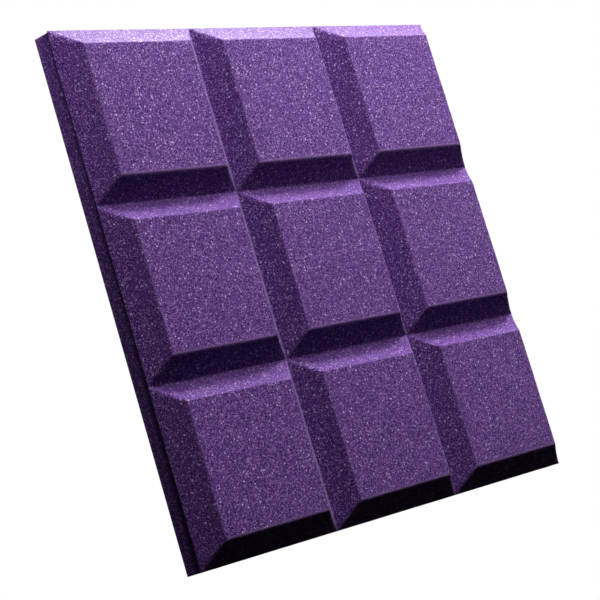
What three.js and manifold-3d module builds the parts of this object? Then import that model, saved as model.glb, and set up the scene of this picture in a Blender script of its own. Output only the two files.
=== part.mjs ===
// Acoustic foam panel: one sheet of foam whose front is cut into square blocks
// with sloping sides, held on a wall by double-sided pads on its back.
// Millimetres, +Z up. The wall is the plane y = 0 and the blocks face -Y.

import * as THREE from 'three';
import { mergeVertices } from 'three/addons/utils/BufferGeometryUtils.js';
import Module from 'manifold-3d';

// foam sheet
const panelWidth = 600;
const panelHeight = 600;
const foamThickness = 50;

// blocks and the V grooves that part them
const blockColumns = 3;
const blockRows = 3;
const grooveDepth = 25;
const bevelRun = 25;
const crestRadius = 5;
const crestSteps = 4;

// double-sided pads on the back
const padWidth = 40;
const padHeight = 40;
const padThickness = 1;
const padCornerRadius = 3;
const padCornerSteps = 4;
const padEdgeDistance = 50;

// how far the cutters run past the foam
const cutOverrun = 10;

const wasm = await Module();
wasm.setup();

const foamFinish = { color: '#6b4a91', roughness: 0.95, metalness: 0 };
const padFinish = { color: '#e9e6df', roughness: 0.45, metalness: 0 };

function toSolid(geometry) {
  const bare = geometry.clone();
  bare.deleteAttribute('normal');
  bare.deleteAttribute('uv');
  const merged = mergeVertices(bare);
  return new wasm.Manifold(new wasm.Mesh({
    numProp: 3,
    vertProperties: new Float32Array(merged.attributes.position.array),
    triVerts: new Uint32Array(merged.index.array),
  }));
}

function toGeometry(solid) {
  const { vertProperties, triVerts } = solid.getMesh();
  const geometry = new THREE.BufferGeometry();
  geometry.setAttribute('position', new THREE.BufferAttribute(vertProperties, 3));
  geometry.setIndex(new THREE.BufferAttribute(triVerts, 1));
  geometry.computeVertexNormals();
  return geometry;
}

// Section of the V groove: x runs across it, y from its foot out of the foam.
// Two arcs round off the crests where the slopes meet the block tops.
function grooveSection() {
  const slopeAngle = Math.atan2(grooveDepth, bevelRun);
  const crestReach = crestRadius * Math.tan(slopeAngle / 2);
  const arcX = bevelRun + crestReach;
  const arcY = grooveDepth - crestRadius;
  const flatAngle = Math.PI / 2;
  const section = new THREE.Shape();
  section.moveTo(arcX, grooveDepth + cutOverrun);
  section.lineTo(-arcX, grooveDepth + cutOverrun);
  section.absarc(-arcX, arcY, crestRadius, flatAngle, flatAngle - slopeAngle, true);
  section.lineTo(0, 0);
  section.absarc(arcX, arcY, crestRadius, flatAngle + slopeAngle, flatAngle, true);
  section.closePath();
  return section;
}

// A straight cutter of the groove's section, centred on its length.
function grooveCutter(foamLength) {
  const length = foamLength + 2 * cutOverrun;
  const cutter = new THREE.ExtrudeGeometry(grooveSection(), {
    depth: length,
    steps: 1,
    curveSegments: crestSteps,
    bevelEnabled: false,
  });
  cutter.translate(0, 0, -length / 2);
  return cutter;
}

// The lines that the grooves follow. The first and last lie on the foam's own
// edges, so that half a groove bevels the outermost blocks.
function grooveLines(span, blocks) {
  const pitch = span / blocks;
  return Array.from({ length: blocks + 1 }, (_, line) => line * pitch - span / 2);
}

function foamGeometry() {
  const backY = -padThickness;
  const footY = backY - foamThickness + grooveDepth;
  const slab = new THREE.BoxGeometry(panelWidth, foamThickness, panelHeight);
  slab.translate(0, backY - foamThickness / 2, 0);
  let foam = toSolid(slab);

  // the section's outward direction turns to -Y
  for (const x of grooveLines(panelWidth, blockColumns)) {
    const upright = grooveCutter(panelHeight);
    upright.rotateZ(Math.PI);
    upright.translate(x, footY, 0);
    foam = foam.subtract(toSolid(upright));
  }
  for (const z of grooveLines(panelHeight, blockRows)) {
    const level = grooveCutter(panelWidth);
    level.rotateZ(Math.PI);
    level.rotateY(Math.PI / 2);
    level.translate(0, footY, z);
    foam = foam.subtract(toSolid(level));
  }
  return toGeometry(foam);
}

// A flat square with round corners, its glued faces square to Y.
function padGeometry() {
  const x = padWidth / 2;
  const z = padHeight / 2;
  const r = padCornerRadius;
  const outline = new THREE.Shape();
  outline.moveTo(-x + r, -z);
  outline.lineTo(x - r, -z);
  outline.absarc(x - r, -z + r, r, -Math.PI / 2, 0, false);
  outline.lineTo(x, z - r);
  outline.absarc(x - r, z - r, r, 0, Math.PI / 2, false);
  outline.lineTo(-x + r, z);
  outline.absarc(-x + r, z - r, r, Math.PI / 2, Math.PI, false);
  outline.lineTo(-x, -z + r);
  outline.absarc(-x + r, -z + r, r, Math.PI, 1.5 * Math.PI, false);
  const pad = new THREE.ExtrudeGeometry(outline, {
    depth: padThickness,
    steps: 1,
    curveSegments: padCornerSteps,
    bevelEnabled: false,
  });
  pad.rotateX(Math.PI / 2);
  return pad;
}

// Places of the pads on the back, named as seen from the front.
function padPlaces() {
  const x = panelWidth / 2 - padEdgeDistance - padWidth / 2;
  const z = panelHeight / 2 - padEdgeDistance - padHeight / 2;
  return [
    ['adhesive_pad_upper_left', -x, z],
    ['adhesive_pad_upper_right', x, z],
    ['adhesive_pad_centre', 0, 0],
    ['adhesive_pad_lower_left', -x, -z],
    ['adhesive_pad_lower_right', x, -z],
  ];
}

const panel = new THREE.Group();

const foam = new THREE.Mesh(foamGeometry(), new THREE.MeshStandardMaterial(foamFinish));
foam.name = 'foam_panel';
panel.add(foam);

for (const [name, x, z] of padPlaces()) {
  const pad = new THREE.Mesh(padGeometry(), new THREE.MeshStandardMaterial(padFinish));
  pad.name = name;
  pad.position.set(x, 0, z);
  panel.add(pad);
}

export default panel;
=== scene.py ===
from math import cos, pi, radians, sin

import bpy
import numpy as np
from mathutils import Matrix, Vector, noise


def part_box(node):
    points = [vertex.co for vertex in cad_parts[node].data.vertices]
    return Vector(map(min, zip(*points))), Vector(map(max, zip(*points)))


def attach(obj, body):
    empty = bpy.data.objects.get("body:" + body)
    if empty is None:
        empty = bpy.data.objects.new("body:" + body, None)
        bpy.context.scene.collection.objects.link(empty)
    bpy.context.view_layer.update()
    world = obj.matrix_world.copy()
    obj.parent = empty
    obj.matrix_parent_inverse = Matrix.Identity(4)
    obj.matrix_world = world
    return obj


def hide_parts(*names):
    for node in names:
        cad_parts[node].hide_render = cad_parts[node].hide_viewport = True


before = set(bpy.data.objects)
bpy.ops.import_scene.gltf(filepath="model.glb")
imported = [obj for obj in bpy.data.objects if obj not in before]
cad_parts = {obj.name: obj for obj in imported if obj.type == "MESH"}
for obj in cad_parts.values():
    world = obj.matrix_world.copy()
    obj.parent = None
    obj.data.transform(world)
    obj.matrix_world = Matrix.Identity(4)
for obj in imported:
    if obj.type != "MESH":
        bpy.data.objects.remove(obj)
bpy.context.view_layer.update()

MM = 0.001

# The foam sheet's size, from its CAD piece
foam_low, foam_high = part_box("foam_panel")
HALF_WIDTH = (foam_high.x - foam_low.x) / 2
HALF_HEIGHT = (foam_high.z - foam_low.z) / 2
FOAM_FRONT, FOAM_BACK = foam_low.y, foam_high.y

# Blocks, the V grooves that part them, and the plain slab behind the grooves' feet
BLOCKS = 3
GROOVE_DEPTH = 25 * MM
BEVEL_RUN = 25 * MM
GROOVE_FOOT = FOAM_FRONT + GROOVE_DEPTH
SLAB_DEPTH = FOAM_BACK - GROOVE_FOOT

# The bevels are cut a little hollow, so they are steepest at the crests
BEVEL_HOLLOW = 0.85 * MM

# How far the corners are rounded; the left and the lower crests are softer than the others
CREST_BLEND = 1.3 * MM
LEFT_CREST_BLEND = 2.2 * MM
LOWER_CREST_BLEND = 3 * MM
HIP_BLEND = 1.2 * MM

# How pale a crest or hip is, from 0 to 1: partly bare cell walls, partly a painted highlight line,
# strongest along the lower crests
SIDE_CREST_WEAR_AND_HIGHLIGHT = 0.2
UPPER_CREST_WEAR_AND_HIGHLIGHT = 0.25
LOWER_CREST_WEAR_AND_HIGHLIGHT = 1
HIP_WEAR_AND_HIGHLIGHT = 0.25

# Grid lines in mm from a groove's foot, over its bevel and its rounded crest, to the flat top
BEVEL_LINES = [line * MM for line in (0, 1.2, 2.8, 5, 7.5, 10, 12.5, 15, 17.5, 20, 22, 23.2, 24,
                                      24.6, 25.2, 25.9, 26.8, 28, 30)]
TOP_CELL = 5 * MM

# The cut sides draw in behind the front lip and flare out again to the back edge, and shade is
# painted into the hollow: share of the slab's depth behind the foot, how far drawn in, how strong the
# painted shade is
SIDE_PROFILE = [
    (0.015, 0.1 * MM, 0.9),
    (0.04, 0.45 * MM, 1),
    (0.08, 1.2 * MM, 1),
    (0.13, 1.85 * MM, 1),
    (0.19, 2.2 * MM, 0.95),
    (0.26, 2.3 * MM, 0.75),
    (0.34, 2.1 * MM, 0.46),
    (0.46, 1.7 * MM, 0.28),
    (0.6, 1.2 * MM, 0.2),
    (0.74, 0.65 * MM, 0.16),
    (0.86, 0.25 * MM, 0.12),
    (0.975, 0, 0.1),
]
BACK_EDGE_ROUND = 0.5 * MM

# The hollow is narrow at the top of the sheet and wide at its bottom: powers of the share above,
# and how strong the painted shade in it is at the top, against 1 at the bottom
HOLLOW_POWER_TOP, HOLLOW_POWER_BOTTOM = 1.1, 0.6
HOLLOW_SHADE_TOP = 0.8

# The top and bottom sides draw in by this share of what the left and right ones do
LEVEL_SIDE_SHARE = 0.3

# Soft unevenness of the cut foam: length and height of its waves
LONG_WAVE, LONG_WAVE_HEIGHT = 45 * MM, 0.22 * MM
SHORT_WAVE, SHORT_WAVE_HEIGHT = 11 * MM, 0.14 * MM

# Foam cells and the clouds of colour over them, as the number in a metre
SPECK_CELLS = 800
PORE_CELLS = 760
BARE_AND_GLINT_CELLS = 290
GRAIN_CLOUDS = 1000
PATCH_CLOUDS = 28
WARP_CLOUDS = 260

# How far the clouds bend the cells out of line, and how high the foam's grain stands
CELL_WARP = 1.2 * MM
FOAM_RELIEF = 0.6 * MM

# Foam colours, from the painted shade in the sides' hollow to the bare cell walls with painted glints:
# red, green, blue, alpha
HOLLOW_PAINTED_SHADE = (0.010, 0.002, 0.026, 1)
GRAIN_DARK = (0.018, 0.001, 0.088, 1)
PORE = (0.021, 0.001, 0.088, 1)
PATCH = (0.178, 0.066, 0.324, 1)
GRAIN_PALE = (0.266, 0.101, 0.462, 1)
WORN_CREST_AND_HIGHLIGHT = (0.460, 0.250, 0.680, 1)
SPECK = (0.740, 0.460, 1.000, 1)
BARE_WALL_AND_GLINT = (0.840, 0.670, 1.000, 1)

# Share of painted shade where the side is most hollow
MOST_PAINTED_SHADE = 0.92

# Mounting squares: a film on each glued face, and a foam core that stands back between them
SQUARE_PLACES = ("upper_left", "upper_right", "centre", "lower_left", "lower_right")
SQUARE_CORNER = 3 * MM
SQUARE_CORNER_STEPS = 8
FILM_THICKNESS = 0.16 * MM
FILM_EDGE_DEPTH = 0.05 * MM
FILM_EDGE_DRAWN_IN = 0.12 * MM
CORE_DRAWN_IN = 0.25 * MM

# Tape: crinkles and pores in a metre, the height of both, and its two whites
CRINKLES = 190
TAPE_PORES = 1500
TAPE_RELIEF = 0.3 * MM
TAPE_DARK = (0.78, 0.755, 0.70, 1)
TAPE_PALE = (0.86, 0.845, 0.80, 1)

# Camera: place in metres, turn about x, y and z in degrees, lens and sensor width in mm
CAMERA_PLACE = (-1.39495, -1.42488, -0.28755)
CAMERA_TURN = (97.7186, 16.5589, -41.5752)
CAMERA_LENS = 102.2
CAMERA_SENSOR = 36

# Lamps: name, place, what they point at, watts, width and height, colour
PLAIN = (1, 1, 1)
COOL = (0.92, 0.85, 1)
FRONT_MIDDLE = (0, -0.03, 0)
LAMPS = [
    ("near_front", (0.1, -1.0, 0.9), (0, -0.03, 0.1), 2.2, (0.4, 0.4), PLAIN),
    ("high_front", (0.556, -1.528, 1.626), FRONT_MIDDLE, 18.5, (0.6, 0.6), PLAIN),
    ("overhead_left", (-0.3, -0.3, 1.3), FRONT_MIDDLE, 5.4, (0.5, 0.4), PLAIN),
    ("overhead_front", (0.3, -0.5, 1.3), FRONT_MIDDLE, 5.4, (0.5, 0.4), PLAIN),
    ("overhead_right", (0.9, -0.5, 1.5), FRONT_MIDDLE, 27, (0.5, 0.4), PLAIN),
    ("high_back", (0.9, 0.63, 1.35), FRONT_MIDDLE, 34, (0.5, 0.4), PLAIN),
    ("left_high", (-0.8, -0.05, 0.6), (-0.3, 0, 0.1), 0.66, (0.2, 0.2), COOL),
    ("left_near", (-0.6, 0, 0.5), (-0.3, 0, 0.25), 0.38, (0.2, 0.2), COOL),
    ("behind_above", (-0.25, 2.4, 0.6), (0, 0, 0), 10, (0.3, 0.8), PLAIN),
    ("behind_below", (-0.1, 1.7, -1.1), (0, 0, -0.1), 6.5, (0.3, 0.4), PLAIN),
    ("right_back", (1.5, 2.3, 0.1), (0.3, 0, 0), 5, (0.4, 0.8), PLAIN),
]

# World: white where it is seen, and this much light on the panel
WHITE = (1, 1, 1, 1)
WORLD_LIGHT = 0.005

# Floor: its size and height, its paint as the camera and as the panel see it, and its glow for the
# camera
FLOOR_RADIUS = 4.5
FLOOR_SIDES = 96
FLOOR_HEIGHT = -1.3
FLOOR_PAINT = (0.5, 0.5, 0.5, 1)
FLOOR_BOUNCE = (0.008, 0.008, 0.008, 1)
FLOOR_GLOW = 0.7


# Node trees

class Value:
    """A node's output. Sums, differences and products of it add Math nodes to its tree."""

    def __init__(self, finish, socket):
        self.finish = finish
        self.socket = socket

    def maths(self, operation, first, second):
        return self.finish.add("ShaderNodeMath", {"operation": operation}, {0: first, 1: second})

    def __add__(self, other):
        return self.maths("ADD", self, other)

    __radd__ = __add__

    def __sub__(self, other):
        return self.maths("SUBTRACT", self, other)

    def __rsub__(self, other):
        return self.maths("SUBTRACT", other, self)

    def __mul__(self, other):
        return self.maths("MULTIPLY", self, other)

    __rmul__ = __mul__

    def or_larger(self, other):
        return self.maths("MAXIMUM", self, other)

    def between(self, low, high):
        """0 up to low, 1 from high on, and a smooth rise between them."""
        return self.finish.add("ShaderNodeMapRange", {"interpolation_type": "SMOOTHSTEP"},
                               {"Value": self, "From Min": low, "From Max": high})


class Finish:
    """The node tree of a material or of the world."""

    def __init__(self, owner):
        owner.use_nodes = True
        self.owner = owner
        self.tree = owner.node_tree
        self.tree.nodes.clear()

    def add(self, kind, settings=None, inputs=None, output=0):
        """Adds a node, sets it, sets or links its inputs, and gives one of its outputs."""
        node = self.tree.nodes.new(kind)
        for name, setting in (settings or {}).items():
            setattr(node, name, setting)
        for name, value in (inputs or {}).items():
            if isinstance(value, Value):
                self.tree.links.new(value.socket, node.inputs[name])
            else:
                node.inputs[name].default_value = value
        return Value(self, node.outputs[output]) if node.outputs else None

    def place(self):
        """The place on the piece's own mesh, in metres."""
        return self.add("ShaderNodeTexCoord", output="Object")

    def clouds(self, place, in_a_metre, detail, output="Fac"):
        return self.add("ShaderNodeTexNoise", None,
                        {"Vector": place, "Scale": in_a_metre, "Detail": detail}, output)

    def cells(self, place, in_a_metre, output="Distance"):
        """The distance to the middle of the nearest cell, or that cell's chance colour."""
        return self.add("ShaderNodeTexVoronoi", None, {"Vector": place, "Scale": in_a_metre}, output)

    def mix(self, factor, first, second):
        """Colours mixed by factor: first at 0, second at 1."""
        # a Mix node's colour sockets come after those for numbers and vectors
        colour_first, colour_second, colour_result = 6, 7, 2
        return self.add("ShaderNodeMix", {"data_type": "RGBA"},
                        {0: factor, colour_first: first, colour_second: second}, colour_result)

    def output(self, shader, kind="ShaderNodeOutputMaterial"):
        self.add(kind, None, {"Surface": shader})
        return self.owner


def foam_finish():
    """Open-cell foam: dark pores and pale cell walls, some with painted glints under a real coat, a
    millimetre or two apart.
    """
    foam = Finish(bpy.data.materials.new("purple_foam"))
    place = foam.place()
    bend = foam.clouds(place, WARP_CLOUDS, 1, "Color")
    bent_place = foam.add("ShaderNodeVectorMath", {"operation": "MULTIPLY_ADD"},
                          {0: bend, 1: (CELL_WARP,) * 3, 2: place})

    def spots(in_a_metre, channel, chance, fade):
        """Round spots that fade out from the middles of some cells, picked by a chance colour."""
        colour = foam.cells(bent_place, in_a_metre, "Color")
        picked = foam.add("ShaderNodeSeparateColor", None, {"Color": colour}, channel)
        return picked.between(*chance) * (1 - foam.cells(bent_place, in_a_metre).between(*fade))

    speck = spots(SPECK_CELLS, "Red", chance=(0.72, 0.9), fade=(0.2, 0.7))
    # painted glints: sparse pale lilac dots in the base colour stand in for sparkles; the coat on the
    # same dots gives real gloss
    bare_wall_and_glint = spots(BARE_AND_GLINT_CELLS, "Red", chance=(0.8, 0.93), fade=(0.14, 0.38))
    pore = spots(PORE_CELLS, "Green", chance=(0.45, 0.9), fade=(0.1, 0.7))
    grain = foam.clouds(place, GRAIN_CLOUDS, 1).between(0.37, 0.63)
    patch = foam.clouds(place, PATCH_CLOUDS, 2).between(0.25, 0.75)
    # pale crests: partly bare cell walls, partly a painted highlight line, strongest along the lower
    # crests
    crest_wear_and_highlight_share = foam.add("ShaderNodeAttribute", {"attribute_name": "pale_crest_wear_and_highlight"}, output="Fac")
    hollow = foam.add("ShaderNodeAttribute", {"attribute_name": "hollow"}, output="Fac")

    colour = foam.mix(grain, GRAIN_DARK, GRAIN_PALE)
    # each colour covers those before it by its share
    for share, cover in [(pore * 0.95, PORE), (patch * 0.12, PATCH), (crest_wear_and_highlight_share * 0.9, WORN_CREST_AND_HIGHLIGHT),
                         (speck * 0.95, SPECK), (bare_wall_and_glint, BARE_WALL_AND_GLINT)]:
        colour = foam.mix(share, colour, cover)
    # grain and specks stand up, and pores sink in
    height = grain * 0.5 + speck * 0.6 - pore * 0.9
    bump = foam.add("ShaderNodeBump", None, {"Strength": 0.55, "Distance": FOAM_RELIEF, "Height": height})
    cut_foam = foam.add("ShaderNodeBsdfPrincipled", None, {
        "Base Color": colour,
        "Roughness": 0.65 - speck * 0.25,
        "Specular IOR Level": 0.04,
        "Sheen Weight": 0.22,
        "Sheen Roughness": 0.4,
        "Coat Weight": bare_wall_and_glint * 0.12,
        "Coat Roughness": 0.3,
        "Coat IOR": 1.6,
        "Normal": bump,
    })
    # painted shade: a near-black diffuse, mixed in by the hollow attribute, stands in for the shade in
    # the sides' hollow behind the front lip
    painted_shade_bsdf = foam.add("ShaderNodeBsdfDiffuse", None, {"Color": HOLLOW_PAINTED_SHADE, "Normal": bump})
    return foam.output(foam.add("ShaderNodeMixShader", None,
                                {0: hollow * MOST_PAINTED_SHADE, 1: cut_foam, 2: painted_shade_bsdf}))


def tape_finish():
    """White foam-core tape: a faint crinkle under a satin adhesive film."""
    tape = Finish(bpy.data.materials.new("white_tape"))
    place = tape.place()
    crinkle = tape.clouds(place, CRINKLES, 3)
    height = crinkle + tape.cells(place, TAPE_PORES) * 0.25
    bump = tape.add("ShaderNodeBump", None, {"Strength": 0.35, "Distance": TAPE_RELIEF, "Height": height})
    return tape.output(tape.add("ShaderNodeBsdfPrincipled", None, {
        "Base Color": tape.mix(crinkle.between(0.3, 0.75), TAPE_DARK, TAPE_PALE),
        "Roughness": 0.38 + crinkle * 0.25,
        "Specular IOR Level": 0.4,
        "Normal": bump,
    }))


# Meshes and pieces

def new_mesh(name, points, faces):
    mesh = bpy.data.meshes.new(name)
    mesh.from_pydata(points, [], faces)
    mesh.update()
    return mesh


def grid_faces(grid):
    """Faces between the points of a grid."""
    corners = grid[:-1, :-1], grid[:-1, 1:], grid[1:, 1:], grid[1:, :-1]
    return np.stack(corners, axis=-1).reshape(-1, 4).tolist()


def ring_faces(ring, next_ring):
    """Faces between two closed rings with as many points."""
    count = len(ring)
    return [(ring[(k + 1) % count], ring[k], next_ring[k], next_ring[(k + 1) % count])
            for k in range(count)]


def add_object(name, data):
    added = bpy.data.objects.new(name, data)
    bpy.context.scene.collection.objects.link(added)
    return added


def make_piece(name, mesh, finish, replaced):
    """A piece on the panel's one body, in place of a CAD node."""
    piece = add_object(name, mesh)
    mesh.materials.append(finish)
    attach(piece, "root")
    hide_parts(replaced)
    return piece


# Foam sheet

def grid_lines(half):
    """Grid lines across the sheet: close together over the bevels, wide on the flat tops."""
    pitch = 2 * half / BLOCKS
    flat_start, flat_end = BEVEL_LINES[-1], pitch - BEVEL_LINES[-1]
    flat = np.linspace(flat_start, flat_end, round((flat_end - flat_start) / TOP_CELL) + 1)
    one = np.concatenate([BEVEL_LINES[:-1], flat, pitch - np.array(BEVEL_LINES[-2:0:-1])])
    return np.concatenate([block * pitch + one for block in range(BLOCKS)] + [[2 * half]]) - half


def soft_min(a, b, blend):
    """The smaller of two heights with the corner between them rounded, and how near that corner is."""
    near = np.maximum(1 - np.abs(a - b) / blend, 0)
    return np.minimum(a, b) - near * near * blend / 4, near


def to_groove(line, half):
    """Distance from the nearest groove's foot, and whether that groove is at the block's low end."""
    pitch = 2 * half / BLOCKS
    along = np.mod(line + half, pitch)
    return np.minimum(along, pitch - along), along < pitch / 2


def bevel_rise(distance):
    """Height of a bevel at a distance from its foot; past the crest it goes on rising."""
    up = distance / BEVEL_RUN
    # from 0 at the foot and the crest to 1 half way up
    bow = 4 * up * np.maximum(1 - up, 0)
    return up * GROOVE_DEPTH - BEVEL_HOLLOW * bow


def front_relief(x, z):
    """Height over the grooves' feet, and how pale the crests and hips are, from bare cell walls and a
    painted highlight.
    """
    distance_x, on_left = to_groove(x, HALF_WIDTH)
    distance_z, below = to_groove(z, HALF_HEIGHT)
    rise_x, rise_z = bevel_rise(distance_x), bevel_rise(distance_z)
    side_blend = np.where(on_left, LEFT_CREST_BLEND, CREST_BLEND)
    level_blend = np.where(below, LOWER_CREST_BLEND, CREST_BLEND)
    side, side_crest = soft_min(rise_x, GROOVE_DEPTH, side_blend)
    level, level_crest = soft_min(rise_z, GROOVE_DEPTH, level_blend)
    height, hip = soft_min(side, level, HIP_BLEND)
    # on a flat top both heights are the same, but there is no hip
    on_top = np.minimum(side, level) > GROOVE_DEPTH - CREST_BLEND / 4
    hip_wear_and_highlight = np.where(on_top, 0, hip) * HIP_WEAR_AND_HIGHLIGHT
    level_wear_and_highlight = level_crest * np.where(below, LOWER_CREST_WEAR_AND_HIGHLIGHT, UPPER_CREST_WEAR_AND_HIGHLIGHT)
    crest_wear_and_highlight = np.where(rise_x < rise_z, side_crest * SIDE_CREST_WEAR_AND_HIGHLIGHT, level_wear_and_highlight)
    return height, np.maximum(crest_wear_and_highlight, hip_wear_and_highlight)


def border_places(rows, columns):
    """The places on a grid's border, once round, as row and column."""
    bottom = [(0, column) for column in range(columns)]
    right = [(row, columns - 1) for row in range(1, rows)]
    top = [(rows - 1, column) for column in range(columns - 2, -1, -1)]
    left = [(row, 0) for row in range(rows - 2, 0, -1)]
    return bottom + right + top + left


def side_ring(outline, share, drawn_in, painted_shade):
    """A ring of points round the slab's sides, and how strong the painted shade is at each."""
    keep_x = 1 - drawn_in / HALF_WIDTH
    keep_z = 1 - drawn_in * LEVEL_SIDE_SHARE / HALF_HEIGHT
    points, painted_shades = [], []
    for x, z in outline:
        down = (1 - z / HALF_HEIGHT) / 2
        power = HOLLOW_POWER_TOP + (HOLLOW_POWER_BOTTOM - HOLLOW_POWER_TOP) * down
        points.append((x * keep_x, GROOVE_FOOT + SLAB_DEPTH * share ** power, z * keep_z))
        # painted shade in the hollow, darker towards the bottom of the sheet
        painted_shades.append(painted_shade * (HOLLOW_SHADE_TOP + (1 - HOLLOW_SHADE_TOP) * down))
    return points, painted_shades


def uneven_surface(mesh):
    """Moves the front and the sides along their normals; the back stays flat on its squares."""
    normals = [normal.vector.copy() for normal in mesh.vertex_normals]
    for vertex, normal in zip(mesh.vertices, normals):
        if vertex.co.y < FOAM_BACK - MM:
            wave = (noise.noise(vertex.co / LONG_WAVE) * LONG_WAVE_HEIGHT
                    + noise.noise(vertex.co / SHORT_WAVE) * SHORT_WAVE_HEIGHT)
            vertex.co += normal * (wave - LONG_WAVE_HEIGHT)


def keep_values(mesh, name, values):
    """Keeps a number for each point of a mesh, for its finish to read."""
    mesh.attributes.new(name, "FLOAT", "POINT").data.foreach_set("value", np.array(values, np.float32))


def foam_mesh():
    """One closed sheet: the front with its blocks, rings down the sides, and the flat back."""
    x, z = np.meshgrid(grid_lines(HALF_WIDTH), grid_lines(HALF_HEIGHT))
    height, wear_and_highlight = front_relief(x, z)
    front = np.arange(x.size).reshape(x.shape)
    border = border_places(*x.shape)
    outline = [(x[at], z[at]) for at in border]

    points = list(zip(x.flat, (GROOVE_FOOT - height).flat, z.flat))
    painted_shades = [0] * x.size
    rings = [[int(front[at]) for at in border]]
    for share, drawn_in, painted_shade in SIDE_PROFILE:
        rings.append(range(len(points), len(points) + len(border)))
        ring_points, ring_painted_shades = side_ring(outline, share, drawn_in, painted_shade)
        points += ring_points
        painted_shades += ring_painted_shades
    back = front + len(points)
    rings.append([int(back[at]) for at in border])
    keep_x, keep_z = 1 - BACK_EDGE_ROUND / HALF_WIDTH, 1 - BACK_EDGE_ROUND / HALF_HEIGHT
    points += [(across * keep_x, FOAM_BACK, up * keep_z) for across, up in zip(x.flat, z.flat)]

    # the back's grid is turned over, so that its faces look outwards
    faces = grid_faces(front) + grid_faces(back.T)
    for ring, next_ring in zip(rings, rings[1:]):
        faces += ring_faces(ring, next_ring)
    mesh = new_mesh("foam_sheet", points, faces)
    uneven_surface(mesh)
    keep_values(mesh, "pale_crest_wear_and_highlight", [*wear_and_highlight.flat] + [0] * (len(points) - x.size))
    # how much painted shade each point in the sides' hollow gets
    keep_values(mesh, "hollow", painted_shades + [0] * x.size)
    mesh.shade_smooth()
    lip = set(rings[0])
    for line in mesh.edges:
        line.use_edge_sharp = lip.issuperset(line.vertices)
    return mesh


# Mounting squares

def square_outline(half_width, half_height, corner):
    """Round-cornered outline, once round, as x and z."""
    outline = []
    for sign_x, sign_z, start in [(1, 1, 0), (-1, 1, 90), (-1, -1, 180), (1, -1, 270)]:
        for step in range(SQUARE_CORNER_STEPS + 1):
            turn = radians(start + 90 * step / SQUARE_CORNER_STEPS)
            outline.append((sign_x * (half_width - corner) + corner * cos(turn),
                            sign_z * (half_height - corner) + corner * sin(turn)))
    return outline


def square_mesh(name, node):
    """A tape square in its CAD node's box: outlines from the back to the front, and two flat faces."""
    low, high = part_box(node)
    middle = (low + high) / 2
    half_width, half_height = (high.x - low.x) / 2, (high.z - low.z) / 2
    # depth behind a glued face, and how far drawn in
    profile = [(0, FILM_EDGE_DRAWN_IN), (FILM_EDGE_DEPTH, 0), (FILM_THICKNESS, 0),
               (FILM_THICKNESS, CORE_DRAWN_IN)]
    layers = [(high.y - depth, drawn_in) for depth, drawn_in in profile]
    layers += [(low.y + depth, drawn_in) for depth, drawn_in in reversed(profile)]
    points, rings = [], []
    for y, drawn_in in layers:
        outline = square_outline(half_width - drawn_in, half_height - drawn_in, SQUARE_CORNER - drawn_in)
        rings.append(range(len(points), len(points) + len(outline)))
        points += [(middle.x + x, y, middle.z + z) for x, z in outline]
    faces = [rings[0][::-1], rings[-1]]
    for ring, next_ring in zip(rings, rings[1:]):
        faces += ring_faces(next_ring, ring)
    return new_mesh(name, points, faces)


def make_squares():
    finish = tape_finish()
    for place in SQUARE_PLACES:
        name, node = "mounting_square_" + place, "adhesive_pad_" + place
        make_piece(name, square_mesh(name, node), finish, node)


# Camera, lamps, world and floor

def set_camera():
    camera = add_object("camera", bpy.data.cameras.new("camera"))
    camera.data.sensor_width = CAMERA_SENSOR
    camera.data.lens = CAMERA_LENS
    camera.location = CAMERA_PLACE
    camera.rotation_euler = [radians(angle) for angle in CAMERA_TURN]
    bpy.context.scene.camera = camera


def set_lamps():
    for name, place, target, watts, size, colour in LAMPS:
        lamp = add_object(name, bpy.data.lights.new(name, "AREA"))
        lamp.data.energy = watts
        lamp.data.shape = "RECTANGLE"
        lamp.data.size, lamp.data.size_y = size
        lamp.data.color = colour
        lamp.visible_camera = False
        lamp.location = place
        lamp.rotation_mode = "QUATERNION"
        lamp.rotation_quaternion = (Vector(target) - Vector(place)).to_track_quat("-Z", "Y")


def set_world():
    """White where it is seen or mirrored, and a faint even light elsewhere."""
    world = Finish(bpy.data.worlds.new("studio"))
    bpy.context.scene.world = world.owner
    seen, mirrored, through = [world.add("ShaderNodeLightPath", output=ray)
                               for ray in ("Is Camera Ray", "Is Glossy Ray", "Is Transmission Ray")]
    strength = seen.or_larger(mirrored).or_larger(through) * (1 - WORLD_LIGHT) + WORLD_LIGHT
    light = world.add("ShaderNodeBackground", None, {"Color": WHITE, "Strength": strength})
    world.output(light, "ShaderNodeOutputWorld")


def floor_finish():
    """Matt paint that glows a little for the camera and throws next to nothing back at the panel."""
    paint = Finish(bpy.data.materials.new("floor_paint"))
    seen = paint.add("ShaderNodeLightPath", output="Is Camera Ray")
    tone = paint.mix(seen, FLOOR_BOUNCE, FLOOR_PAINT)
    matt = paint.add("ShaderNodeBsdfDiffuse", None, {"Color": tone})
    glow = paint.add("ShaderNodeEmission", None, {"Color": WHITE, "Strength": seen * FLOOR_GLOW})
    return paint.output(paint.add("ShaderNodeAddShader", None, {0: matt, 1: glow}))


def set_floor():
    """A pale round floor, far enough below that its shadow and its bounce stay off the panel."""
    turns = [2 * pi * side / FLOOR_SIDES for side in range(FLOOR_SIDES)]
    rim = [(FLOOR_RADIUS * cos(turn), FLOOR_RADIUS * sin(turn), 0) for turn in turns]
    floor = add_object("floor", new_mesh("floor", rim, [range(FLOOR_SIDES)]))
    floor.data.materials.append(floor_finish())
    floor.location.z = FLOOR_HEIGHT


foam_sheet = make_piece("foam_sheet", foam_mesh(), foam_finish(), "foam_panel")
make_squares()
set_camera()
set_lamps()
set_world()
set_floor()
bpy.context.scene.view_settings.view_transform = "Standard"
